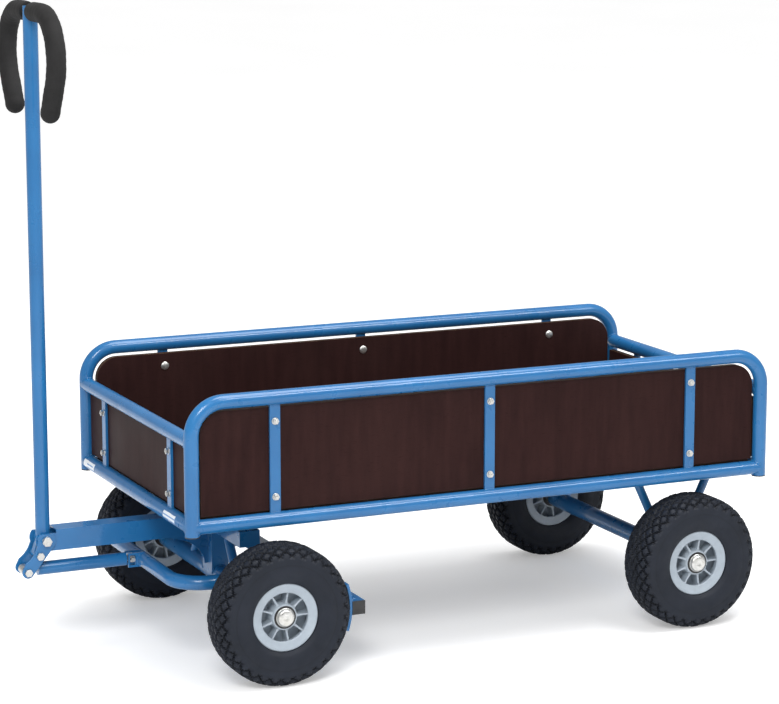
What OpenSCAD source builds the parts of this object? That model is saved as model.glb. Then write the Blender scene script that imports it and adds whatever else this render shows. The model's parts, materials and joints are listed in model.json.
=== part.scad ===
// Four-wheeled platform trolley: a tubular box frame with panelled sides, a turntable-steered
// front axle, an upright drawbar and a drawbar-operated tyre brake.
// +X points to the drawbar end, +Z is up. The origin is on the floor below the middle of the whole
// trolley. The modules measure X from the box's middle, and centred() moves each sub-part to the origin.

/* [Box] */
// Distance between the leg centres along the box
box_length = 1178; // [1100:2:1300]
// Distance between the centre planes of the two side frames
box_width = 594; // [580:2:620]
// Height of the bottom rail's centre above the floor
rail_height = 299; // [297:1:303]
// Height of the side frame's top rail centre above the floor
side_height = 523; // [500:1:600]
// Height of the end frame's top rail centre above the floor
end_height = 454; // [440:1:480]

/* [Tubes] */
// Outside diameter of the frame, drawbar and brake tubes
tube_d = 27; // [26:0.5:28]
// Wall of the frame tubes
tube_wall = 2; // [1.5:0.5:3]
// Centre-line radius of the side frame's bends
bend_r = 60; // [50:1:80]
// Outside diameter of the axle tubes
axle_tube_d = 33.7; // [33:0.1:35]

/* [Panels] */
// Thickness of the side, end and floor boards
board = 12; // [10:1:12]
// Gap between a panel's edge and the tube around it
panel_gap = 4; // [3:0.5:6]
// Width of the flat struts that carry the panels
strut_w = 20; // [18:1:24]
// Thickness of the flat struts
strut_t = 5; // [4:0.5:6]

/* [Wheels] */
// Outside diameter of the tyres
tyre_d = 260; // [256:1:260]
// Width of the tyres
tyre_w = 85; // [80:1:86]
// Distance between the two axles
wheelbase = 868; // [850:2:900]
// Track of the steered front wheels
front_track = 640; // [636:2:650]
// Track of the rear wheels
rear_track = 600; // [596:2:620]
// Number of spokes in each rim
spokes = 9; // [7:1:12]

/* [Drawbar] */
// Distance from the steering axis to the drawbar's pivot
drawbar_reach = 341; // [335:1:350]
// Height of the drawbar's pivot above the floor
pivot_height = 230; // [229:1:231]
// Height of the handle's cross tube above the floor
handle_height = 1201; // [1100:1:1250]
// Outside diameter of the foam grips
grip_d = 36; // [32:1:40]

/* [Hidden] */
$fn = 64;
e = 0.5;                                  // overshoot of a cut past a surface
run = 0.05;                               // radial clearance of a running fit
tube_r = tube_d / 2;
bore_r = tube_r - tube_wall;
half_l = box_length / 2;
half_w = box_width / 2;
leg_bottom = rail_height - tube_r - 2;
side_struts = [-430, 0, 430];             // places of the side struts along X
end_struts = [-185, 185];                 // places of the end struts along Y
panel_low = rail_height + tube_r + panel_gap;
side_bolt_z = [341, 480];
end_bolt_z = [338, 417];

board_bolt_r = 3;
board_bolt_head_r = 8.25;
nut_flange_r = 6.5;

bearer_w = 40;
bearer_h = 15;
bearer_wall = 2;
rear_bearer_gap = 85;                     // from the rear axle to each bearer beside it
turn_bearer_gap = 60;                     // from the steering axis to each bearer beside it
floor_z = rail_height + 1;                // underside of the floor board
front_x = wheelbase / 2;
rear_x = -wheelbase / 2;
turn_bearers = [front_x - turn_bearer_gap, front_x + turn_bearer_gap];
bearers = concat([rear_x - rear_bearer_gap, rear_x + rear_bearer_gap, 0], turn_bearers);
screw_y = [-230, -20, 230];               // places of the floor screws along each bearer
screw_head_r = 6;
screw_head_h = 3;
bearer_bottom = floor_z - bearer_h;

tyre_r = tyre_d / 2;
axle_z = tyre_r;
axle_r = axle_tube_d / 2;
axle_bore_r = axle_r - 3;
axle_gap = 45;                            // from a wheel's centre to the end of its axle tube
rim_r = 63;
rim_half = 33;
flange = 4;                               // thickness of the rim's outer rings
seat = 2;                                 // depth of the tyre's seat below the flange
hub_r = 26;
hub_half = 30;
bearing_r = 21;
bearing_w = 12;
spindle_r = 10;
v_strut_y = 230;                          // the rear axle's V struts along Y

ring_r = 100;                             // pitch radius of the turntable's balls
ball_r = 6;
plate_t = 4;
ring_wall = 14;
ring_half = 8;                            // half of the races' height
race_gap = 0.5;                           // from the pitch radius to each race
turn_bolt_y = 45;
steer_bolt_y = 60;
beam = 40;                                // side of the square steering beam
beam_wall = 3;
beam_top = pivot_height + beam / 2;
ring_z = (beam_top + bearer_bottom) / 2;
pivot_x = front_x + drawbar_reach;
pivot_r = 5;
cross_beam = 360;                         // length of the beam above the front axle
cross_h = 30;
pin_at = [36, -56];                       // from the pivot to the crank's lower pin, X and Z
clamp_at = [12.7, -27.1];                 // from the pivot to the crank's clamp bolt
hollow_at = [66.4, 3.2];                  // from the pivot to the centre of the crank's hollow edge
hollow_r = 50;
crank_inner = beam / 2 + 0.3;
crank_t = 4;
crank_outer = crank_inner + crank_t;
small_r = 4;                              // radius of the clamp bolt and both link pins
grip = crank_outer + 0.3;                 // half of the length that the pivot bolt holds
pivot_hex = 16;
pivot_nut_h = 8;
small_hex = 13;
foot_r = 12;                              // the drawbar's bush on the pivot bolt
lug_r = 8;

handle_r = 11;
handle_flat = 70;                         // half of the handle's straight top
handle_bend = 80;
handle_turn = 120;                        // the bend goes past the vertical, so the ends close in
handle_tail = 62;

link_z = pivot_height + pin_at[1];
link_r = 12.5;
stem_r = 5;                               // the eyes' threaded stems
bow_x = front_x + 148;                    // centre of the brake bow's front tube
bow_z = link_z - 3;
bow_y = 214;                              // centre of the brake bow's side arms
bow_bend = 60;
link_end_x = bow_x + 22.5;                 // the link's rear pin
shoe_gap = 1.5;
shoe_t = 5;
shoe_w = 40;
bar = 25;
bar_wall = 2;
lug_y = 10.5;                             // centre planes of the bow's two lugs
lug_t = 4;
bar_x = front_x - tyre_r - shoe_gap - shoe_t - bar / 2;
bar_z = axle_z - 2;
bar_half = front_track / 2 + 18;

crank_tip_r = 11;
front_end = pivot_x + pin_at[0] + crank_tip_r;
rear_end = half_l + tube_r;
middle_x = (front_end - rear_end) / 2;

blue = [0.12, 0.40, 0.70];
plywood = [0.22, 0.13, 0.12];
zinc = [0.78, 0.78, 0.76];
rubber = [0.13, 0.14, 0.16];
rim_grey = [0.68, 0.72, 0.78];
black = [0.10, 0.10, 0.10];

// ---- helpers ----

// A round rod along X, Y or Z, centred on the origin across its length.
module rod_x(r, l) { rotate([0, 90, 0]) cylinder(r = r, h = l, center = true); }
module rod_y(r, l) { rotate([90, 0, 0]) cylinder(r = r, h = l, center = true); }
module rod_z(r, l) { cylinder(r = r, h = l, center = true); }

// A quarter bend in the XZ plane, from (radius, 0) round to (0, radius).
module bend_xz(radius, r) {
    rotate([90, 0, 0]) rotate_extrude(angle = 90) translate([radius, 0]) circle(r);
}

// A hexagonal prism along Z.
module hexagon(across, h) { cylinder(d = across / cos(30), h = h, $fn = 6); }

module mirror_y() {
    children();
    mirror([0, 1, 0]) children();
}

module mirror_x() {
    children();
    mirror([1, 0, 0]) children();
}

// ---- box frame ----

// The bent leg-rail-leg tube of a side frame as a rod of the given radius.
module side_hoop(r, bottom) {
    leg = side_height - bend_r - bottom;
    mirror_x() translate([half_l, 0, bottom + leg / 2]) rod_z(r, leg);
    mirror_x() translate([half_l - bend_r, 0, side_height - bend_r]) bend_xz(bend_r, r);
    translate([0, 0, side_height]) rod_x(r, box_length - 2 * bend_r);
}

module side_rail(r, l) { translate([0, 0, rail_height]) rod_x(r, l); }

module side_frame(side) {
    strut_h = side_height - rail_height;
    color(blue) translate([0, side * half_w, 0]) difference() {
        union() {
            side_hoop(tube_r, leg_bottom);
            side_rail(tube_r, box_length);
            for (x = side_struts)
                translate([x, 0, rail_height + strut_h / 2])
                    cube([strut_w, strut_t, strut_h], center = true);
        }
        side_hoop(bore_r, leg_bottom - e);
        side_rail(bore_r, box_length);
        for (x = side_struts, z = side_bolt_z)
            translate([x, 0, z]) rod_y(board_bolt_r + run, strut_t + 2 * e);
    }
}

module side_frame_left() { side_frame(1); }
module side_frame_right() { side_frame(-1); }

module end_frame(end) {
    strut_h = end_height - rail_height;
    color(blue) translate([end * half_l, 0, 0]) difference() {
        union() {
            for (z = [rail_height, end_height])
                translate([0, 0, z]) rod_y(tube_r, box_width);
            for (y = end_struts)
                translate([0, y, rail_height + strut_h / 2])
                    cube([strut_t, strut_w, strut_h], center = true);
        }
        for (z = [rail_height, end_height])
            translate([0, 0, z]) rod_y(bore_r, box_width + 2 * e);
        mirror_y() translate([-end * half_l, half_w, 0]) side_hoop(tube_r, leg_bottom);
        mirror_y() translate([-end * tube_d, half_w, rail_height]) rod_x(tube_r, 2 * tube_d);
        for (y = end_struts, z = end_bolt_z)
            translate([0, y, z]) rod_x(board_bolt_r + run, strut_t + 2 * e);
    }
}

module front_end_frame() { end_frame(1); }
module rear_end_frame() { end_frame(-1); }

module floor_bearers() {
    color(blue) difference() {
        for (x = bearers)
            translate([x, 0, floor_z - bearer_h / 2])
                cube([bearer_w, box_width, bearer_h], center = true);
        for (x = bearers)
            translate([x, 0, floor_z - bearer_h / 2])
                cube([bearer_w - 2 * bearer_wall, box_width + 2 * e, bearer_h - 2 * bearer_wall],
                    center = true);
        mirror_y() translate([0, half_w, 0]) side_rail(tube_r, box_length);
        for (x = bearers, y = screw_y)
            translate([x, y, floor_z]) rod_z(board_bolt_r + run, 3 * bearer_wall);
        turntable_bolt_places() rod_z(small_r + run, 3 * bearer_wall);
    }
}

module leg_caps() {
    plug = 14;
    rim = 2;
    color(black) mirror_x() mirror_y() translate([half_l, half_w, leg_bottom]) {
        translate([0, 0, -rim]) cylinder(r = tube_r, h = rim);
        cylinder(r = bore_r, h = plug);
    }
}

// Small blank plates on the front rail, bent round the tube.
module label_plates() {
    t = 0.6;
    low_angle = -20;
    wrap = 60;
    centres_and_lengths = [[-249, 62], [210, 60]];
    color([0.9, 0.92, 0.94])
        for (plate = centres_and_lengths)
            translate([half_l, plate[0], rail_height]) rotate([90, 0, 0])
                rotate([0, 0, low_angle]) rotate_extrude(angle = wrap)
                    translate([tube_r + t / 2, 0]) square([t, plate[1]], center = true);
}

// ---- panels and their fasteners ----

module side_panel(side) {
    low = panel_low;
    high = side_height - tube_r - panel_gap;
    reach = half_l - tube_r - panel_gap;
    corner = bend_r - tube_r - panel_gap;
    face = half_w - strut_t / 2;
    color(plywood) difference() {
        translate([0, side * (face - board / 2), 0]) rotate([90, 0, 0])
            linear_extrude(board, center = true) union() {
                translate([-reach, low]) square([2 * reach, high - corner - low]);
                translate([-(reach - corner), low]) square([2 * (reach - corner), high - low]);
                for (s = [-1, 1]) translate([s * (reach - corner), high - corner]) circle(corner);
            }
        for (x = side_struts, z = side_bolt_z)
            translate([x, side * (face - board / 2), z]) rod_y(board_bolt_r + run, board + 2 * e);
    }
}

module side_panel_left() { side_panel(1); }
module side_panel_right() { side_panel(-1); }

module end_panel(end) {
    low = panel_low;
    high = end_height - tube_r - panel_gap;
    reach = half_w - tube_r - panel_gap;
    x = end * (half_l - strut_t / 2 - board / 2);
    color(plywood) difference() {
        translate([x, 0, (low + high) / 2]) cube([board, 2 * reach, high - low], center = true);
        for (y = end_struts, z = end_bolt_z)
            translate([x, y, z]) rod_x(board_bolt_r + run, board + 2 * e);
    }
}

module front_panel() { end_panel(1); }
module rear_panel() { end_panel(-1); }

// A place's child is turned so that its +Z points out of the box, with Z = 0 on the strut's face.
module panel_bolt_places() {
    for (side = [0, 180]) rotate([0, 0, side]) {
        for (x = side_struts, z = side_bolt_z)
            translate([x, half_w + strut_t / 2, z]) rotate([-90, 0, 0]) children();
        for (y = end_struts, z = end_bolt_z)
            translate([half_l + strut_t / 2, y, z]) rotate([0, 90, 0]) children();
    }
}

// Carriage bolts: a low head inside the box and the shank out through the strut.
module panel_bolts() {
    depth = board + strut_t;
    thread_end = 7.5;
    edge_h = 1.2;
    dome_h = 1.8;
    color(zinc) panel_bolt_places() translate([0, 0, -depth]) {
        cylinder(r = board_bolt_r, h = depth + thread_end);
        translate([0, 0, -edge_h]) cylinder(r = board_bolt_head_r, h = edge_h);
        translate([0, 0, -edge_h - dome_h])
            cylinder(r1 = board_bolt_head_r - 2 * dome_h, r2 = board_bolt_head_r, h = dome_h);
    }
}

module panel_nuts() {
    across = 10;
    h = 6;
    color(zinc) panel_bolt_places() difference() {
        union() {
            cylinder(r = nut_flange_r, h = 1.2);
            hexagon(across, h);
        }
        translate([0, 0, -e]) cylinder(r = board_bolt_r + run, h = h + 2 * e);
    }
}

module floor_board() {
    margin = tube_r + 1.5;
    reach_x = half_l - margin;
    reach_y = half_w - margin;
    color(plywood) difference() {
        translate([0, 0, floor_z + board / 2])
            cube([2 * reach_x, 2 * reach_y, board], center = true);
        for (x = bearers, y = screw_y) translate([x, y, floor_z]) {
            rod_z(board_bolt_r + run, 2 * board + 2 * e);
            translate([0, 0, board - screw_head_h]) cylinder(r = screw_head_r + run, h = screw_head_h + e);
        }
    }
}

module floor_screws() {
    color(zinc) for (x = bearers, y = screw_y) translate([x, y, floor_z]) {
        translate([0, 0, -bearer_wall])
            cylinder(r = board_bolt_r, h = board - screw_head_h + bearer_wall);
        translate([0, 0, board - screw_head_h]) cylinder(r = screw_head_r, h = screw_head_h - 0.2);
    }
}

// ---- wheels ----

// A tyre's outline, with the wheel's axis along Y in the sketch.
module tyre_section(shrink) {
    round_r = tyre_w / 2;
    crown_r = 24;
    crown_y = tyre_w / 2 - crown_r - 1;
    translate([tyre_r - round_r, 0]) circle(round_r - shrink);
    for (s = [-1, 1]) translate([tyre_r - crown_r, s * crown_y]) circle(crown_r - shrink);
    translate([tyre_r - crown_r, -crown_y]) square([crown_r - shrink, 2 * crown_y]);
}

module tyre() {
    casing = 7;
    color(rubber) rotate([90, 0, 0]) rotate_extrude($fn = 96) difference() {
        tyre_section(0);
        tyre_section(casing);
        translate([0, -tyre_w / 2]) square([rim_r - seat, tyre_w]);
        for (s = [0, 1]) mirror([0, s])
            translate([0, rim_half - flange]) square([rim_r + run, tyre_w]);
    }
}

module rim() {
    barrel_r = rim_r - seat - run;
    window_r = 45;
    web = 4;
    spoke_t = 4;
    spoke_half = rim_half - 6;
    ring_t = flange - 2 * run;
    color(rim_grey) rotate([90, 0, 0]) {
        rotate_extrude($fn = 96) {
            translate([barrel_r - web, -rim_half]) square([web, 2 * rim_half]);
            for (s = [-1, 1])
                translate([window_r, s * (rim_half - flange / 2) - ring_t / 2])
                    square([rim_r - window_r, ring_t]);
            translate([bearing_r, -hub_half]) square([hub_r - bearing_r, 2 * hub_half]);
            translate([hub_r - 1, -web / 2]) square([barrel_r - hub_r, web]);
            translate([bearing_r - 4, -hub_half + bearing_w])
                square([6, 2 * (hub_half - bearing_w)]);
        }
        for (i = [0 : spokes - 1]) rotate([0, 0, (i + 0.5) * 360 / spokes])
            translate([hub_r - 2, -spoke_t / 2, -spoke_half])
                cube([barrel_r - hub_r, spoke_t, 2 * spoke_half]);
    }
}

// Two sealed ball bearings, shown as closed rings at the ends of the hub.
module bearings() {
    color(black) for (s = [-1, 1]) translate([0, s * (hub_half - bearing_w / 2), 0])
        difference() {
            rod_y(bearing_r, bearing_w);
            rod_y(spindle_r + run, bearing_w + 2 * e);
        }
}

module at_front_left() { translate([front_x, front_track / 2, axle_z]) children(); }
module at_front_right() { translate([front_x, -front_track / 2, axle_z]) children(); }
module at_rear_left() { translate([rear_x, rear_track / 2, axle_z]) children(); }
module at_rear_right() { translate([rear_x, -rear_track / 2, axle_z]) children(); }

module tyre_front_left() { at_front_left() tyre(); }
module tyre_front_right() { at_front_right() tyre(); }
module tyre_rear_left() { at_rear_left() tyre(); }
module tyre_rear_right() { at_rear_right() tyre(); }
module rim_front_left() { at_front_left() rim(); }
module rim_front_right() { at_front_right() rim(); }
module rim_rear_left() { at_rear_left() rim(); }
module rim_rear_right() { at_rear_right() rim(); }
module bearings_front_left() { at_front_left() bearings(); }
module bearings_front_right() { at_front_right() bearings(); }
module bearings_rear_left() { at_rear_left() bearings(); }
module bearings_rear_right() { at_rear_right() bearings(); }

// Stub spindles: a plug pressed into the axle tube, a shoulder and the bearing seat.
module spindles(x, track) {
    plug = 40;
    tube_end = track / 2 - axle_gap;
    hub_in = track / 2 - hub_half - 0.3;
    hub_out = track / 2 + hub_half + 0.5;
    color(zinc) mirror_y() translate([x, 0, axle_z]) rotate([-90, 0, 0]) {
        translate([0, 0, tube_end - plug]) cylinder(r = axle_bore_r, h = plug);
        translate([0, 0, tube_end]) cylinder(r = spindle_r + 4, h = hub_in - tube_end);
        translate([0, 0, hub_in]) cylinder(r = spindle_r, h = hub_out - hub_in);
    }
}

// Domed retaining caps pushed onto the spindle ends.
module axle_caps(x, track) {
    cap_r = 17.5;
    edge_h = 3;
    dome_h = 6;
    hub_out = track / 2 + hub_half + 0.5;
    color(zinc) mirror_y() translate([x, hub_out, axle_z]) rotate([-90, 0, 0]) {
        cylinder(r = cap_r, h = edge_h);
        translate([0, 0, edge_h]) cylinder(r1 = cap_r - 1, r2 = cap_r - dome_h, h = dome_h);
    }
}

module front_spindles() { spindles(front_x, front_track); }
module rear_spindles() { spindles(rear_x, rear_track); }
module front_axle_caps() { axle_caps(front_x, front_track); }
module rear_axle_caps() { axle_caps(rear_x, rear_track); }

// ---- rear axle ----

// A round bar between two points of the XZ plane.
module bar_xz(from, to, r) {
    d = to - from;
    translate([from[0], 0, from[1]]) rotate([0, atan2(d[0], d[1]), 0])
        cylinder(r = r, h = norm(d));
}

module axle_tube(x, track) {
    translate([x, 0, axle_z]) rod_y(axle_r, track - 2 * axle_gap);
}

module axle_bore(x, track) {
    translate([x, 0, axle_z]) rod_y(axle_bore_r, track - 2 * axle_gap + 2 * e);
}

module rear_axle_frame() {
    leg_r = 8.5;
    foot = [12, 6];                       // from the axle's centre to the foot of a V strut
    trim = 40;
    color(blue) difference() {
        union() {
            axle_tube(rear_x, rear_track);
            mirror_y() translate([0, v_strut_y, 0])
                for (s = [-1, 1])
                    bar_xz([rear_x + s * foot[0], axle_z + foot[1]],
                        [rear_x + s * rear_bearer_gap, bearer_bottom + 5], leg_r);
        }
        axle_bore(rear_x, rear_track);
        translate([0, 0, bearer_bottom + trim / 2]) cube([box_length, box_width, trim], center = true);
    }
}

// ---- turntable ----

module turntable_bolt_places() {
    for (x = turn_bearers, s = [-1, 1])
        translate([x, s * turn_bolt_y, bearer_bottom]) children();
}

module ball_groove() { rotate_extrude($fn = 96) translate([ring_r, 0]) circle(ball_r + run); }

// The fixed half: a plate under the bearers with the inner race hanging below it.
module turntable_upper() {
    plate = [2 * ring_r + 10, 2 * ring_r - 10, plate_t];
    race_low = ring_z - ring_half;
    color(blue) difference() {
        union() {
            translate([front_x, 0, bearer_bottom - plate_t / 2]) cube(plate, center = true);
            translate([front_x, 0, race_low])
                cylinder(r = ring_r - race_gap, h = bearer_bottom - plate_t - race_low);
        }
        translate([front_x, 0, race_low - e])
            cylinder(r = ring_r - ring_wall, h = bearer_bottom - plate_t - race_low + e);
        translate([front_x, 0, ring_z]) ball_groove();
        turntable_bolt_places() rod_z(small_r + run, 3 * plate_t);
    }
}

module turntable_bolts() {
    across = 13;
    head_h = 5.5;
    color(zinc) turntable_bolt_places() {
        translate([0, 0, -plate_t]) cylinder(r = small_r, h = plate_t + bearer_wall);
        translate([0, 0, -plate_t - head_h]) hexagon(across, head_h);
    }
}

// The turning half: a plate on the steering beam with the outer race round its edge.
module turntable_lower() {
    color(blue) difference() {
        translate([front_x, 0, beam_top])
            cylinder(r = ring_r + ring_wall, h = ring_z + ring_half - beam_top);
        translate([front_x, 0, beam_top + plate_t]) cylinder(r = ring_r + race_gap, h = 4 * ring_half);
        translate([front_x, 0, ring_z]) ball_groove();
        steering_bolt_places() rod_z(small_r + run, 3 * plate_t);
    }
}

module turntable_balls() {
    balls = 16;
    color(zinc) for (i = [0 : balls - 1])
        translate([front_x, 0, ring_z]) rotate([0, 0, i * 360 / balls])
            translate([ring_r, 0, 0]) sphere(ball_r, $fn = 24);
}

module steering_bolt_places() {
    for (s = [-1, 1]) translate([front_x, s * steer_bolt_y, beam_top]) children();
}

module steering_bolts() {
    head_r = 6.5;
    head_h = 2.5;
    color(zinc) steering_bolt_places() {
        translate([0, 0, -beam_wall]) cylinder(r = small_r, h = beam_wall + plate_t);
        translate([0, 0, plate_t]) cylinder(r = head_r, h = head_h);
    }
}

// ---- steering frame ----

// The beam runs from behind the turntable to the rounded fork round the drawbar's pivot.
module steering_frame() {
    back = front_x - 90;
    middle = (back + pivot_x) / 2;
    inside = beam - 2 * beam_wall;
    post = [34, 50, pivot_height - axle_z];
    color(blue) difference() {
        union() {
            translate([middle, 0, pivot_height]) cube([pivot_x - back, beam, beam], center = true);
            translate([pivot_x, 0, pivot_height]) rod_y(beam / 2, beam);
            translate([front_x, 0, beam_top - cross_h / 2]) cube([beam, cross_beam, cross_h], center = true);
            translate([front_x, 0, (axle_z + pivot_height) / 2]) cube(post, center = true);
            axle_tube(front_x, front_track);
            steering_struts();
            front_gusset();
            brake_guides();
        }
        translate([middle, 0, pivot_height])
            cube([pivot_x - back + 2 * beam, inside, inside], center = true);
        translate([front_x, 0, beam_top - cross_h / 2])
            cube([inside, cross_beam - 2 * beam_wall, cross_h - 2 * beam_wall], center = true);
        axle_bore(front_x, front_track);
        fork_relief();
        translate([pivot_x, 0, pivot_height]) rod_y(pivot_r + run, beam + 2 * e);
        steering_bolt_places() rod_z(small_r + run, 3 * beam_wall);
    }
}

// A plate with a hollowed edge between the post and the underside of the beam.
module front_gusset() {
    t = 8;
    long = 92;
    high = 62;
    translate([front_x + 16, 0, beam_top - beam + 1]) rotate([90, 0, 0])
        linear_extrude(t, center = true) difference() {
            translate([0, -high]) square([long, high]);
            translate([long, -high]) scale([(long - 8) / (high - 6), 1]) circle(high - 6);
        }
}

// Sloping struts from the cross beam down to the front axle.
module steering_struts() {
    top = [60, beam_top - cross_h + 4];
    low = [118, axle_z + 8];
    strut_r = 9;
    mirror_y() translate([front_x, 0, 0]) rotate([0, 0, 90]) bar_xz(top, low, strut_r);
}

// The fork's open top and bottom, which leave room for the drawbar's foot and crank.
module fork_relief() {
    top_back = 20;                        // how far behind the pivot each opening starts
    bottom_back = 46;
    top_low = 13;
    translate([pivot_x - top_back, -beam / 2 - e, pivot_height + top_low])
        cube([top_back + beam, beam + 2 * e, beam]);
    translate([pivot_x - bottom_back, -beam / 2 + beam_wall, pivot_height - 1.5 * beam])
        cube([bottom_back + beam, beam - 2 * beam_wall, beam + 3 * beam_wall]);
}

// Loops on the axle tube in which the brake's side arms slide.
module brake_guides() {
    w = 22;
    wall = 4;
    web = 20;
    slack = 0.4;
    reach = bow_z - axle_z - axle_bore_r - 1;
    mirror_y() translate([front_x, bow_y, bow_z]) difference() {
        union() {
            rod_x(tube_r + wall, w);
            translate([0, 0, -reach / 2]) cube([w, web, reach], center = true);
        }
        rod_x(tube_r + slack, w + 2 * e);
    }
}

module pivot_bolt() {
    washer_r = 8.5;
    washer_t = 1.5;
    color(zinc) translate([pivot_x, 0, pivot_height]) rotate([-90, 0, 0]) {
        translate([0, 0, -grip - pivot_nut_h - 1]) cylinder(r = pivot_r, h = 2 * grip + pivot_nut_h + 1);
        translate([0, 0, grip]) cylinder(r = washer_r, h = washer_t);
        translate([0, 0, grip + washer_t]) hexagon(pivot_hex, 5.5);
    }
}

module pivot_nut() {
    color(zinc) translate([pivot_x, 0, pivot_height]) rotate([90, 0, 0]) difference() {
        translate([0, 0, grip]) hexagon(pivot_hex, pivot_nut_h);
        translate([0, 0, grip - e]) cylinder(r = pivot_r, h = pivot_nut_h + 2 * e);
    }
}

// ---- drawbar ----

module drawbar_tube() {
    foot = pivot_height + 7;
    top = handle_height + 10;
    color(blue) translate([pivot_x, 0, 0]) difference() {
        translate([0, 0, foot]) cylinder(r = tube_r, h = top - foot);
        translate([0, 0, foot - e]) cylinder(r = bore_r, h = handle_height - foot);
        translate([0, 0, pivot_height]) rod_y(foot_r, 2 * tube_d);
        translate([0, 0, handle_height]) rod_y(handle_r, 2 * tube_d);
    }
}

// The bush on the pivot bolt, with a lug down to the crank plates' clamp bolt.
module drawbar_foot() {
    half = beam / 2 - beam_wall - 0.4;
    neck_t = 16;
    spacer_r = 5.5;
    color(blue) translate([pivot_x, 0, pivot_height]) rotate([90, 0, 0]) difference() {
        union() {
            cylinder(r = foot_r, h = 2 * half, center = true);
            translate(clamp_at) cylinder(r = lug_r, h = 2 * half, center = true);
            translate(clamp_at) cylinder(r = spacer_r, h = 2 * crank_inner, center = true);
            linear_extrude(neck_t, center = true) taper([0, 0], foot_r, clamp_at, lug_r);
        }
        cylinder(r = pivot_r + run, h = 2 * beam, center = true);
        translate(clamp_at) cylinder(r = small_r, h = 2 * beam, center = true);
    }
}

// The flat area between the outer tangents of two circles.
module taper(from, from_r, to, to_r) {
    d = to - from;
    along = atan2(d[1], d[0]);
    lean = acos((from_r - to_r) / norm(d));
    rim_point = function (centre, r, a) centre + r * [cos(a), sin(a)];
    polygon([from, rim_point(from, from_r, along + lean), rim_point(to, to_r, along + lean), to,
        rim_point(to, to_r, along - lean), rim_point(from, from_r, along - lean)]);
}

// One crank plate: a head round the pivot, an arm with a hollowed front edge and a rounded tip.
module crank_outline() {
    head_r = 18;
    head_top = 13;
    difference() {
        union() {
            circle(head_r);
            translate(pin_at) circle(crank_tip_r);
            taper([0, 0], head_r, pin_at, crank_tip_r);
        }
        translate(hollow_at) circle(hollow_r);
        translate([-head_r, head_top]) square(2 * head_r);
        circle(pivot_r + run);
        translate(clamp_at) circle(small_r);
        translate(pin_at) circle(small_r);
    }
}

module crank_plates() {
    color(blue) mirror_y() translate([pivot_x, crank_outer, pivot_height]) rotate([90, 0, 0])
        linear_extrude(crank_t) crank_outline();
}

// A hexagon-headed bolt with its nut, across both crank plates.
module cross_bolt() {
    head_h = 5;
    thread_end = 1;
    translate([0, 0, -crank_outer - head_h - thread_end])
        cylinder(r = small_r, h = 2 * crank_outer + head_h + thread_end);
    translate([0, 0, crank_outer]) hexagon(small_hex, head_h);
    translate([0, 0, -crank_outer - head_h]) hexagon(small_hex, head_h);
}

module at_pivot(place) {
    translate([pivot_x + place[0], 0, pivot_height + place[1]]) rotate([-90, 0, 0]) children();
}

module crank_clamp_bolt() { color(zinc) at_pivot(clamp_at) cross_bolt(); }
module crank_pin() { color(zinc) at_pivot(pin_at) cross_bolt(); }

// ---- handle ----

// One half of the handle's centre line as a rod, from Y = start out, round the bend and down.
module handle_half(r, start, tail) {
    step = 0.3;                           // the tail is slightly thinner than the bend
    tip = 4;
    translate([0, (start + handle_flat) / 2, 0]) rod_y(r, handle_flat - start);
    translate([0, handle_flat, -handle_bend]) rotate([0, -90, 0]) {
        rotate_extrude(angle = handle_turn) translate([handle_bend, 0]) circle(r);
        rotate([0, 0, handle_turn]) translate([handle_bend, -1, 0]) rotate([-90, 0, 0]) {
            cylinder(r = r - step, h = tail + 1);
            translate([0, 0, tail + 1]) cylinder(r1 = r - step, r2 = r - tip, h = tip);
        }
    }
}

module handle_tube() {
    color(black) translate([pivot_x, 0, handle_height]) mirror_y() handle_half(handle_r, 0, handle_tail);
}

module handle_grips() {
    end_t = 8;
    color([0.16, 0.16, 0.17]) translate([pivot_x, 0, handle_height]) mirror_y() difference() {
        handle_half(grip_d / 2, tube_r + 1, handle_tail + end_t);
        handle_half(handle_r, 0, handle_tail);
    }
}

// ---- link ----

module link_tube() {
    front = pivot_x + pin_at[0] - 24;
    back = link_end_x + 11;
    color(blue) translate([(front + back) / 2, 0, link_z]) difference() {
        rod_x(link_r, front - back);
        rod_x(stem_r, front - back + 2 * e);
    }
}

// An eye on a stem that screws into the link tube.
module link_eye(half, eye_r, bore_r, stem) {
    difference() {
        union() {
            rod_y(eye_r, 2 * half);
            translate([stem / 2, 0, 0]) rod_x(stem_r, abs(stem));
        }
        rod_y(bore_r, 4 * half);
    }
}

module link_front_eye() {
    color(zinc) translate([pivot_x + pin_at[0], 0, link_z]) link_eye(12, 9, small_r + run, -60);
}

module link_rear_eye() {
    color(zinc) translate([link_end_x, 0, link_z]) link_eye(7, 6.5, small_r, 50);
}

module link_rear_pin() {
    color(zinc) translate([link_end_x, 0, link_z]) rod_y(small_r, 32);
}

// ---- brake ----

// The brake bow as a rod: a front cross tube, two bends and two side arms.
module bow_rod(r, arm) {
    translate([bow_x, 0, bow_z]) {
        rod_y(r, 2 * (bow_y - bow_bend));
        mirror_y() translate([-bow_bend, bow_y - bow_bend, 0])
            rotate_extrude(angle = 90) translate([bow_bend, 0]) circle(r);
        mirror_y() translate([-bow_bend - arm / 2, bow_y, 0]) rod_x(r, arm);
    }
}

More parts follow.
